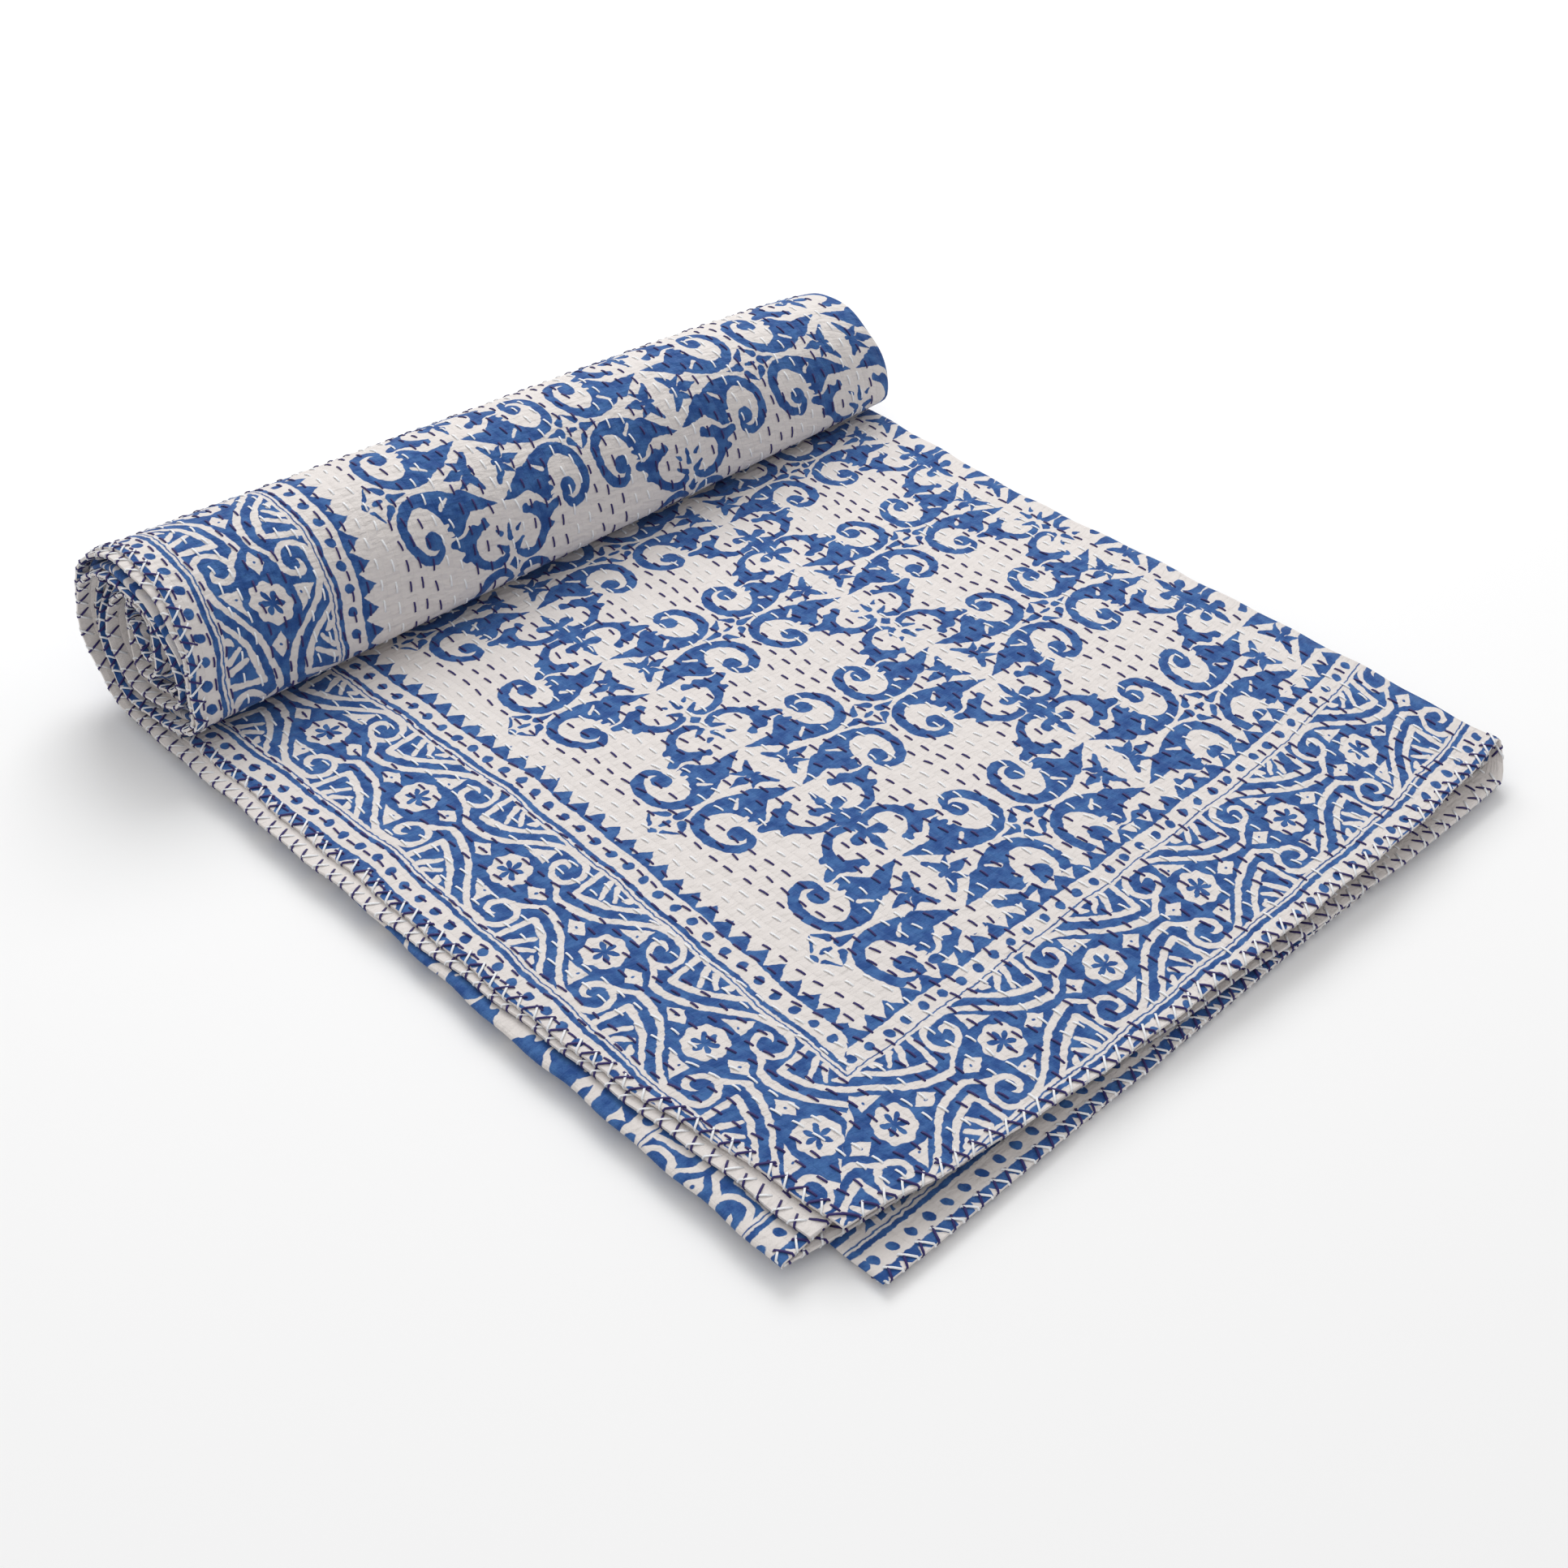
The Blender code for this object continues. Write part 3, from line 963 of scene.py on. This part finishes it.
def thread_material(name, colour):
    """Twisted cotton thread."""
    material, shader = new_material(name)
    place = Shade(material.node_tree.nodes.new("ShaderNodeTexCoord").outputs["Object"])
    fibres = place.node("ShaderNodeTexNoise", inputs={"Vector": place, "Scale": 900.0, "Detail": 2.0})
    wire(shader, "Base Color", fibres.blend(*shades(colour, THREAD_SHADES)))
    bump = {"Strength": 0.4, "Distance": 0.0003, "Height": fibres}
    wire(shader, "Normal", fibres.node("ShaderNodeBump", inputs=bump))
    shader.inputs["Roughness"].default_value = 0.7
    shader.inputs["Sheen Weight"].default_value = 0.1
    return material


# ---- The cloth

LENGTH_MARK = 2.5  # where the second end of the cloth is on its map, whatever each column's own length is
SHARP = math.radians(50)  # the edges of the hems, which stay sharp

# The map on which the finishes are baked: the printed face, the plain back beside it, and a narrow strip
# for each hem. What is hidden takes a small share of its room.
FACE_SPAN = (0.012, 0.800)
BACK_SPAN = (0.990, 0.820)
LONG_SPAN = (0.012, 0.988)
HEM_STRIP = 0.006
HEM_STARTS = (0.002, 0.992, 0.002, 0.804)  # of the first and last end, and of the first and last side
HIDDEN_ROW = 0.10
HIDDEN_COLUMN = 0.16
FOOT_ROWS = 3  # rows where the roll comes down to the floor


class Faces:
    """Faces gathered for the cloth, with their finishes and where they lie on its two maps."""

    def __init__(self):
        self.corners, self.finishes, self.cloth, self.baked = [], [], [], []

    def add(self, finish, corners, cloth, baked):
        self.corners.append(corners.reshape(-1, 4))
        self.finishes.append(np.full(len(self.corners[-1]), finish))
        self.cloth.append(cloth.reshape(-1, 2))
        self.baked.append(baked.reshape(-1, 2))


def hem_share(sheet):
    """1 on the hems and 0 inside, by row and column."""
    across = np.minimum(sheet.across, sheet.across[-1] - sheet.across)[None, :]
    along = np.minimum(sheet.along, sheet.along[-1] - sheet.along)
    return np.clip(HEM_END - np.minimum(across, along) / HEM_WIDTH, 0, 1)


def cloth_map(sheet):
    """Where each point lies on the opened-out cloth. The far half is measured from the far end."""
    far = LENGTH_MARK - (sheet.along[-1] - sheet.along)
    rows = np.arange(len(sheet.along))[:, None]
    core = FLAT_ROWS + round(TURNS * INNER_TURN_ROWS)
    along = np.where(rows <= core, sheet.along, far)
    return np.stack((np.broadcast_to(sheet.across, along.shape), along), axis=-1)


def spread_out(steps, span):
    """Marks from one end of a span to the other, as far apart as some steps are long."""
    at = np.concatenate(([0.0], np.cumsum(steps)))
    return mix(*span, at / at[-1])


def baked_map(sheet):
    """The marks of the columns and rows on the baked map, of the printed face and of the plain back."""
    rows, columns = sheet.point.shape[:2]
    roll_end = rows - 1 - LOWER_FLAT_ROWS
    row, column = np.arange(rows - 1), np.arange(columns - 1)
    shown = (row < FLAT_ROWS) | (row >= roll_end - OUTER_TURN_ROWS) & (row < roll_end + FOOT_ROWS)
    row_steps = np.diff(sheet.along[:, FACE_COLUMNS // 2]) * np.where(shown, 1.0, HIDDEN_ROW)
    column_steps = np.diff(sheet.across) * np.where(column <= FACE_COLUMNS, 1.0, HIDDEN_COLUMN)
    long_marks = spread_out(row_steps, LONG_SPAN)
    return [(spread_out(column_steps, span), long_marks) for span in (FACE_SPAN, BACK_SPAN)]


def patches(grid):
    """The corners of each face of a grid."""
    return np.stack((grid[:-1, :-1], grid[:-1, 1:], grid[1:, 1:], grid[1:, :-1]), axis=2)


def strip(near, far):
    """The corners of each face between two lines."""
    return np.stack((near[:-1], far[:-1], far[1:], near[1:]), axis=1)


def add_sides(faces, number, place, marks):
    """The printed face, and the plain back, whose corners run the other way round."""
    for side, (across, along) in enumerate(marks):
        baked = np.stack(np.meshgrid(across, along), axis=-1)
        way = -1 if side else 1
        grids = (number + side * number.size, place, baked)
        faces.add(side, *(patches(grid)[:, :, ::way] for grid in grids))


def add_rims(faces, number, place, across, along):
    """The narrow faces that close the cloth at its ends and its side hems."""
    rims = (
        (number[0], place[0], 1, across, False),
        (number[-1], place[-1], -1, across, False),
        (number[:, 0], place[:, 0], -1, along, True),
        (number[:, -1], place[:, -1], 1, along, True),
    )
    for (line, line_place, way, marks, upright), start in zip(rims, HEM_STARTS):
        near = np.column_stack((marks, np.full_like(marks, start)))
        baked = strip(near, near + (0, HEM_STRIP))
        if upright:
            baked = baked[..., ::-1]
        corners, cloth = strip(line, line + number.size), strip(line_place, line_place)
        faces.add(1, corners[:, ::way], cloth[:, ::way], baked[:, ::way])


def quilt_mesh(sheet):
    """The cloth as a closed mesh, with its printed face and its plain back as far apart as it is thick."""
    half = mix(CLOTH, HEM, hem_share(sheet))[..., None] / 2
    points = np.stack((sheet.point + sheet.normal * half, sheet.point - sheet.normal * half))
    number = np.arange(half.size).reshape(half.shape[:2])
    place, marks, faces = cloth_map(sheet), baked_map(sheet), Faces()
    add_sides(faces, number, place, marks)
    add_rims(faces, number, place, *marks[0])

    mesh = bpy.data.meshes.new("quilt cloth")
    mesh.from_pydata(points.reshape(-1, 3).tolist(), [], np.concatenate(faces.corners).tolist())
    mesh.polygons.foreach_set("material_index", np.concatenate(faces.finishes))
    for name, values in (("cloth", faces.cloth), ("OFBake", faces.baked)):
        layer = mesh.uv_layers.new(name=name)
        layer.data.foreach_set("uv", np.concatenate(values).astype(np.float32).ravel())
    mesh.shade_smooth()
    mesh.set_sharp_from_angle(angle=SHARP)
    mesh.update()
    return mesh


def add_piece(name, mesh, materials):
    """A finished piece that rides on the quilt's body and takes the materials it is given."""
    piece = bpy.data.objects.new(name, mesh)
    bpy.context.collection.objects.link(piece)
    for material in materials:
        mesh.materials.append(material)
    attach(piece, "root")
    return piece


# ---- The stitches

NAVY_ROWS = (0, 1, 2)  # of each five rows of running stitch, those in dark thread
ROWS_IN_SET = 5
STITCH_SHAPE = ((0.0, -0.9), (0.10, 0.45), (0.5, 0.9), (0.90, 0.45), (1.0, -0.9))
FIRST_ROW = 0.6  # from the hem to the first row, as a share of the rows' pitch
HEM_MARGIN = 0.004  # from a hem to the first stitch along it
SHOWN_FLAT = 0.95  # the share of the face's flat part that shows in front of the roll
BASE_SHOWN = 0.05  # how much shows of the other layers at the front, and of the tucked one at the left
LOWER_SHOWN = 0.06
TUCKED_SHOWN = 0.56
TUCKED_WIDTH = 0.035

# How unevenly the stitches are sewn
ROW_WANDER = ((0.0007, 9.0, 0.9), (0.0004, 31.0, 2.3))  # how far, how fast, and from one row to the next
STITCH_STRAY = 0.0005
STITCH_LENGTHS = (0.86, 1.12)
STITCH_LEAN = 0.0003
WHIP_STRAY = 0.0012
WHIP_DEPTHS = (0.82, 1.12)
WHIP_LEANS = (0.0050, -0.0062)  # how far the dark and the pale whip stitches lean along the hem

# How a whip stitch lies over the hem, as lengths and as shares of the thread or of the stitch's depth
WHIP_THREAD = 1.1
WHIP_RISE = 0.8
WHIP_SUNK = 0.0004
WHIP_ARCH = 0.0002
WHIP_WITHIN = 0.2
WHIP_SLACK = 0.6


def tubes(paths, normals, radius, flatness=0.5, sides=4):
    """The points and faces of many threads at once, each along its own path."""
    tangents = np.gradient(paths, axis=1)
    tangents /= np.linalg.norm(tangents, axis=-1, keepdims=True)
    beside = np.cross(tangents, normals)
    beside /= np.linalg.norm(beside, axis=-1, keepdims=True)
    up = np.cross(beside, tangents)
    angles = (np.arange(sides) + 0.5) * math.tau / sides
    rings = [paths + radius * (math.cos(a) * beside + flatness * math.sin(a) * up) for a in angles]
    points = np.stack(rings, axis=2)
    count, steps = paths.shape[:2]
    number = np.arange(count * steps * sides).reshape(count, steps, sides)
    after = np.roll(number, -1, axis=2)
    walls = np.stack((number[:, :-1], after[:, :-1], after[:, 1:], number[:, 1:]), axis=-1).reshape(-1, 4)
    caps = np.concatenate((number[:, 0, ::-1], number[:, -1]))
    return points.reshape(-1, 3), np.concatenate((walls, caps))


def thread_mesh(name, bundles):
    """One mesh of all the threads in some bundles of points and faces."""
    points, faces, start = [], [], 0
    for some_points, some_faces in bundles:
        points.append(some_points)
        faces.append(some_faces + start)
        start += len(some_points)
    mesh = bpy.data.meshes.new(name)
    mesh.from_pydata(np.concatenate(points).tolist(), [], np.concatenate(faces).tolist())
    mesh.shade_smooth()
    return mesh


def add_thread_piece(name, bundles, colour):
    add_piece(name, thread_mesh(name, bundles), [thread_material(name, colour)])


def row_wander(along, number):
    """How far a row of stitches strays sideways."""
    return sum(far * np.sin(fast * along + shift * number) for far, fast, shift in ROW_WANDER)


def uneven(chance, count, low, high):
    return np.array([chance.uniform(low, high) for _ in range(count)])


def row_at(sheet, column, along):
    """The fractional rows at which a column has some lengths along the cloth."""
    c = min(int(column), sheet.along.shape[1] - 2)
    line = mix(sheet.along[:, c], sheet.along[:, c + 1], column - c)
    return np.interp(along, line, np.arange(len(line)))


def running_row(sheet, number, across, start, stop, side, chance):
    """A row of running stitches, on the printed face (side 1) or the back (side -1)."""
    stitches = bpy.context.scene.quilt_stitches
    pitch = stitches.stitch + stitches.gap
    count = int((stop - start) / pitch)
    if count < 1:
        return None
    begin = start + pitch * (np.arange(count) + chance.random())
    begin += uneven(chance, count, -STITCH_STRAY, STITCH_STRAY)
    long = stitches.stitch * uneven(chance, count, *STITCH_LENGTHS)
    lean = np.array([chance.gauss(0, STITCH_LEAN) for _ in range(count)])
    share, lift = np.array(STITCH_SHAPE).T
    along = begin[:, None] + long[:, None] * share
    strayed = across + row_wander(along, number) + lean[:, None] * (2 * share - 1)
    columns = np.arange(len(sheet.across))
    column = np.interp(strayed, sheet.across, columns)
    row = row_at(sheet, np.interp(across, sheet.across, columns), along)
    point, normal = on_sheet(sheet, row, column)
    rise = CLOTH / 2 + stitches.thread * lift[None, :, None]
    return tubes(point + side * normal * rise, side * normal, stitches.thread)


def shown_spans(sheet, across):
    """Where a row of running stitches shows, as its start and stop along the cloth and the side it is on."""
    end = float(sheet.along[-1].mean())
    layer = int(across / QUARTER)
    if layer == 0:
        marks = sheet.along[:, int(np.interp(across, sheet.across, np.arange(len(sheet.across))))]
        roll_end = len(marks) - 1 - LOWER_FLAT_ROWS
        roll = (marks[roll_end - OUTER_TURN_ROWS], marks[roll_end - FOOT_ROWS], 1)
        return (HEM_MARGIN, marks[int(FLAT_ROWS * SHOWN_FLAT)], 1), roll
    if layer == 1:
        return (HEM_MARGIN, BASE_SHOWN, -1), (end - LOWER_SHOWN, end - HEM_MARGIN, 1)
    if across > sheet.across[-1] - TUCKED_WIDTH:
        return ((HEM_MARGIN, TUCKED_SHOWN, -1),)
    return ()


def add_running_stitches():
    """Rows of running stitch along the quilt, three in dark thread and then two in pale."""
    sheet = folded_sheet()
    stitches = bpy.context.scene.quilt_stitches
    chance = random.Random(7)
    bundles = {True: [], False: []}
    for number in range(int(sheet.across[-1] / stitches.row_pitch)):
        across = (number + FIRST_ROW) * stitches.row_pitch
        for start, stop, side in shown_spans(sheet, across):
            row = running_row(sheet, number, across, start, stop, side, chance)
            if row:
                bundles[number % ROWS_IN_SET in NAVY_ROWS].append(row)
    add_thread_piece("running_stitches_navy", bundles[True], stitches.navy)
    add_thread_piece("running_stitches_white", bundles[False], stitches.white)


def hem_points(sheet, hem, along, depth):
    """The points and outward ways of a hem, some way along it and some way in from it."""
    rows, columns = sheet.point.shape[:2]
    if hem in ("first side", "last side"):
        edge, inward = (0, depth) if hem == "first side" else (columns - 2, sheet.across[-1] - depth)
        column = np.interp(inward, sheet.across, np.arange(columns))
        row = row_at(sheet, edge, along)
    else:
        column = np.interp(along, sheet.across, np.arange(columns))
        middle = sheet.along[:, FACE_COLUMNS // 2]
        row = np.interp(depth if hem == "first end" else middle[-1] - depth, middle, np.arange(rows))
    row, column = np.broadcast_arrays(row, column)
    return on_sheet(sheet, row.astype(float), column.astype(float))


def whip_shape(thread):
    """Each point of a whip stitch: how far in from the edge, how far forward and how high it lies."""
    rise = HEM / 2 + WHIP_RISE * thread
    return (
        (1.0, -1.0, CLOTH / 2 - WHIP_SUNK),
        (0.93, -0.93, rise),
        (0.5, -0.45, rise + WHIP_ARCH),
        (0.04, 0.0, rise),
        (-0.09, 0.08, 0.0),
        (0.04, 0.16, -rise),
        (0.5, 0.6, -rise),
        (0.95, 1.0, -CLOTH / 2),
    )


def round_edge(sheet, hem, along, depth, thread):
    """Where a whip stitch goes round the edge, and its way out from the cloth."""
    point, _ = hem_points(sheet, hem, along, np.zeros_like(depth))
    within, _ = hem_points(sheet, hem, along, depth * WHIP_WITHIN)
    out = point - within
    out /= np.linalg.norm(out, axis=-1, keepdims=True)
    return point + out * thread * WHIP_SLACK, out


def whip_row(sheet, hem, start, stop, lean, chance):
    """Stitches that wrap over a hem, each one from the face, round the edge, to the back."""
    stitches = bpy.context.scene.quilt_stitches
    count = int((stop - start) / stitches.whip_pitch)
    at = start + stitches.whip_pitch * (np.arange(count) + 0.5)
    at += uneven(chance, count, -WHIP_STRAY, WHIP_STRAY)
    depth = stitches.whip_depth * uneven(chance, count, *WHIP_DEPTHS)
    points, normals = [], []
    for inward, forward, height in whip_shape(stitches.thread):
        along = at + lean * forward
        if inward < 0:
            point, normal = round_edge(sheet, hem, along, depth, stitches.thread)
        else:
            point, normal = hem_points(sheet, hem, along, depth * inward)
        points.append(point + normal * height)
        normals.append(normal if height >= 0 else -normal)
    return tubes(np.stack(points, axis=1), np.stack(normals, axis=1), stitches.thread * WHIP_THREAD)


def add_whip_stitches():
    """Dark and pale stitches that cross each other over all four hems."""
    sheet = folded_sheet()
    stitches = bpy.context.scene.quilt_stitches
    chance = random.Random(11)
    width = float(sheet.across[-1])
    length = float(min(sheet.along[-1, 0], sheet.along[-1, -1]))
    hems = (("first side", length), ("last side", length), ("first end", width), ("last end", width))
    for name, colour, lean, start in (
        ("whip_stitches_navy", stitches.navy, WHIP_LEANS[0], HEM_MARGIN),
        ("whip_stitches_white", stitches.white, WHIP_LEANS[1], 2 * HEM_MARGIN),
    ):
        rows = [whip_row(sheet, hem, start, long - HEM_MARGIN, lean, chance) for hem, long in hems]
        add_thread_piece(name, rows, colour)


# ---- The stage

# The camera stands in front of the quilt's front left corner and looks down at it
CAMERA_FROM_HEM = (-0.5441, -0.5547, 0.8944)
CAMERA_YAW = -43.14
CAMERA_PITCH = 38.05
FLOOR_SIZE = 12.0
FLOOR_HEIGHT = -0.0004  # just clear of the cloth
KEY_PLACE = (0.9, 1.3, 1.9)
KEY_SIZE = 1.6
FILL_PLACE = (-1.4, -1.2, 1.6)
FILL_SIZE = 1.4
LOW_SKY = 0.25  # how bright the sky is at the horizon, as a share of overhead


def add_camera():
    middle_x, middle_y = footprint_middle(positions(sheet_rows(), sheet_columns()))
    x, y, z = CAMERA_FROM_HEM
    bpy.ops.object.camera_add(
        location=(x - middle_x, y - middle_y, z),
        rotation=(math.radians(90 - CAMERA_PITCH), 0, math.radians(CAMERA_YAW)),
    )
    camera = bpy.context.object
    camera.data.lens = bpy.context.scene.quilt_stage.lens
    camera.data.sensor_width = 36.0
    bpy.context.scene.camera = camera


def add_light(name, place, size, power):
    """A soft light that faces the quilt."""
    bpy.ops.object.light_add(type="AREA", location=place)
    light = bpy.context.object
    light.name = name
    light.data.size = size
    light.data.energy = power
    light.rotation_mode = "QUATERNION"
    light.rotation_quaternion = Vector(place).to_track_quat("Z", "Y")


def add_floor():
    stage = bpy.context.scene.quilt_stage
    bpy.ops.mesh.primitive_plane_add(size=FLOOR_SIZE, location=(0, 0, FLOOR_HEIGHT))
    floor = bpy.context.object
    floor.name = "floor"
    material, shader = new_material("pale floor")
    shader.inputs["Base Color"].default_value = (*stage.floor, 1)
    shader.inputs["Roughness"].default_value = 0.9
    floor.data.materials.append(material)


def add_sky():
    """Soft light from all round, most of it from above."""
    world = bpy.data.worlds.new("soft white")
    world.use_nodes = True
    nodes = world.node_tree.nodes
    way = Shade(nodes.new("ShaderNodeTexCoord").outputs["Generated"])
    height = clamped(way.node("ShaderNodeSeparateXYZ", inputs={0: way}, output=2))
    wire(nodes["Background"], "Color", height.blend((LOW_SKY, LOW_SKY, LOW_SKY, 1), (1, 1, 1, 1)))
    nodes["Background"].inputs["Strength"].default_value = bpy.context.scene.quilt_stage.sky
    bpy.context.scene.world = world


# ---- Operators, panel and registration


class QUILT_OT_cloth(bpy.types.Operator):
    """Add the folded and rolled cloth with its print"""

    bl_idname = "quilt.add_cloth"
    bl_label = "Add Quilt Cloth"

    def execute(self, context):
        sheet = folded_sheet()
        width = float(sheet.across[-1])
        materials = [printed_material(width * MILLIMETRES, LENGTH_MARK * MILLIMETRES), plain_material()]
        cloth = add_piece("quilt_cloth", quilt_mesh(sheet), materials)
        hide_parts("quilt")
        return {"FINISHED"}


class QUILT_OT_running_stitches(bpy.types.Operator):
    """Add the rows of running stitch that hold the cotton layers together"""

    bl_idname = "quilt.add_running_stitches"
    bl_label = "Add Running Stitches"

    def execute(self, context):
        add_running_stitches()
        return {"FINISHED"}


class QUILT_OT_whip_stitches(bpy.types.Operator):
    """Add the crossed stitches over the hems"""

    bl_idname = "quilt.add_whip_stitches"
    bl_label = "Add Hem Stitches"

    def execute(self, context):
        add_whip_stitches()
        return {"FINISHED"}


class QUILT_OT_stage(bpy.types.Operator):
    """Add the floor, the lights and the camera"""

    bl_idname = "quilt.add_stage"
    bl_label = "Add Stage"

    def execute(self, context):
        stage = context.scene.quilt_stage
        bpy.ops.object.select_all(action="DESELECT")
        add_floor()
        add_light("key light", KEY_PLACE, KEY_SIZE, stage.key)
        add_light("fill light", FILL_PLACE, FILL_SIZE, stage.fill)
        add_sky()
        add_camera()
        context.scene.view_settings.view_transform = "Standard"
        return {"FINISHED"}


class QUILT_PT_sidebar(bpy.types.Panel):
    """The quilt's sizes, colours and pieces"""

    bl_label = "Kantha Quilt"
    bl_idname = "QUILT_PT_sidebar"
    bl_space_type = "VIEW_3D"
    bl_region_type = "UI"
    bl_category = "Quilt"

    def draw(self, context):
        scene = context.scene
        for settings in (scene.quilt_cloth, scene.quilt_stitches, scene.quilt_stage):
            box = self.layout.box()
            for name in settings.bl_rna.properties.keys():
                if name not in ("rna_type", "name"):
                    box.prop(settings, name)
        for operator in OPERATORS:
            self.layout.operator(operator.bl_idname)


SETTINGS = {"quilt_cloth": QuiltCloth, "quilt_stitches": QuiltStitches, "quilt_stage": QuiltStage}
OPERATORS = (QUILT_OT_cloth, QUILT_OT_running_stitches, QUILT_OT_whip_stitches, QUILT_OT_stage)


def register():
    for settings in SETTINGS.values():
        bpy.utils.register_class(settings)
    for name, settings in SETTINGS.items():
        setattr(bpy.types.Scene, name, bpy.props.PointerProperty(type=settings))
    for operator in OPERATORS:
        bpy.utils.register_class(operator)
    bpy.utils.register_class(QUILT_PT_sidebar)


def unregister():
    bpy.utils.unregister_class(QUILT_PT_sidebar)
    for operator in reversed(OPERATORS):
        bpy.utils.unregister_class(operator)
    for name, settings in SETTINGS.items():
        delattr(bpy.types.Scene, name)
        bpy.utils.unregister_class(settings)


def main():
    register()
    bpy.ops.quilt.add_cloth()
    bpy.ops.quilt.add_running_stitches()
    bpy.ops.quilt.add_whip_stitches()
    bpy.ops.quilt.add_stage()


if __name__ == "__main__":
    main()
